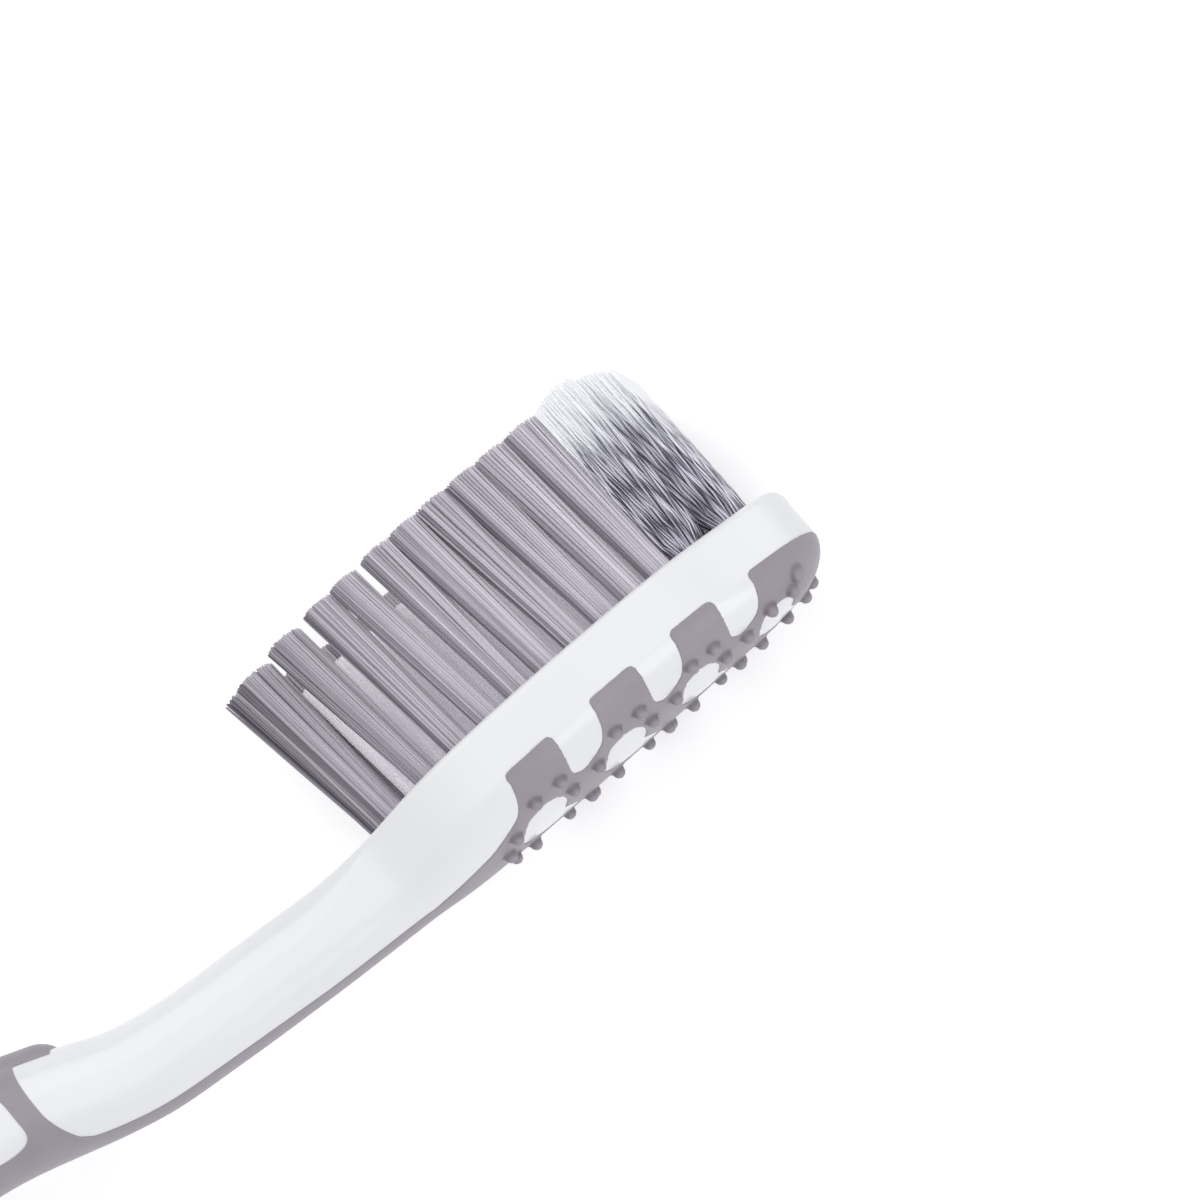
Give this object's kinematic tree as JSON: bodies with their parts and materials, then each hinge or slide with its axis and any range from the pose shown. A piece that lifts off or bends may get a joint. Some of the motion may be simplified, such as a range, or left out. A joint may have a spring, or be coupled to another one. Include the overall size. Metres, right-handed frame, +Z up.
{
  "type": "manual toothbrush",
  "caption": "Manual toothbrush lying on its side: slim white body, grey soft grip, bristle tufts with a raised toe, and a nubbed tongue cleaner on the back of the head.",
  "frame": {"origin": "on the surface that the brush lies on, under the middle of its box", "axes": "+X along the brush towards the toe of the head, +Y where the bristles point, +Z up across the width of the brush"},
  "size_m": [0.19, 0.0182, 0.0126],
  "materials": {
    "body_plastic": "glossy white",
    "soft_plastic": "satin grey",
    "anchor_metal": "drawn strip",
    "outer_bristles": "grey nylon filament",
    "inner_bristles": "light nylon filament",
    "tip_bristles": "crimped dark and white nylon filament with white tips"
  },
  "bodies": {
    "root": {"handle": "body_plastic", "tongue_cleaner": "soft_plastic", "grip": "soft_plastic", "tuft_anchors": "anchor_metal", "heel_tuft": "outer_bristles", "outer_tuft_near_1": "outer_bristles", "outer_tuft_near_2": "outer_bristles", "outer_tuft_near_3": "outer_bristles", "outer_tuft_near_4": "outer_bristles", "outer_tuft_near_5": "outer_bristles", "outer_tuft_near_6": "outer_bristles", "outer_tuft_near_7": "outer_bristles", "outer_tuft_near_8": "outer_bristles", "outer_tuft_near_9": "outer_bristles", "outer_tuft_near_10": "outer_bristles", "outer_tuft_far_1": "outer_bristles", "outer_tuft_far_2": "outer_bristles", "outer_tuft_far_3": "outer_bristles", "outer_tuft_far_4": "outer_bristles", "outer_tuft_far_5": "outer_bristles", "outer_tuft_far_6": "outer_bristles", "outer_tuft_far_7": "outer_bristles", "outer_tuft_far_8": "outer_bristles", "outer_tuft_far_9": "outer_bristles", "outer_tuft_far_10": "outer_bristles", "inner_tuft_near_1": "inner_bristles", "inner_tuft_near_2": "inner_bristles", "inner_tuft_near_3": "inner_bristles", "inner_tuft_near_4": "inner_bristles", "inner_tuft_near_5": "inner_bristles", "inner_tuft_near_6": "inner_bristles", "inner_tuft_near_7": "inner_bristles", "inner_tuft_near_8": "inner_bristles", "inner_tuft_near_9": "inner_bristles", "inner_tuft_far_1": "inner_bristles", "inner_tuft_far_2": "inner_bristles", "inner_tuft_far_3": "inner_bristles", "inner_tuft_far_4": "inner_bristles", "inner_tuft_far_5": "inner_bristles", "inner_tuft_far_6": "inner_bristles", "inner_tuft_far_7": "inner_bristles", "inner_tuft_far_8": "inner_bristles", "inner_tuft_far_9": "inner_bristles", "tip_tuft_1": "tip_bristles", "tip_tuft_2": "tip_bristles", "tip_tuft_3": "tip_bristles", "tip_tuft_4": "tip_bristles", "tip_tuft_5": "tip_bristles"}
  },
  "joints": []
}
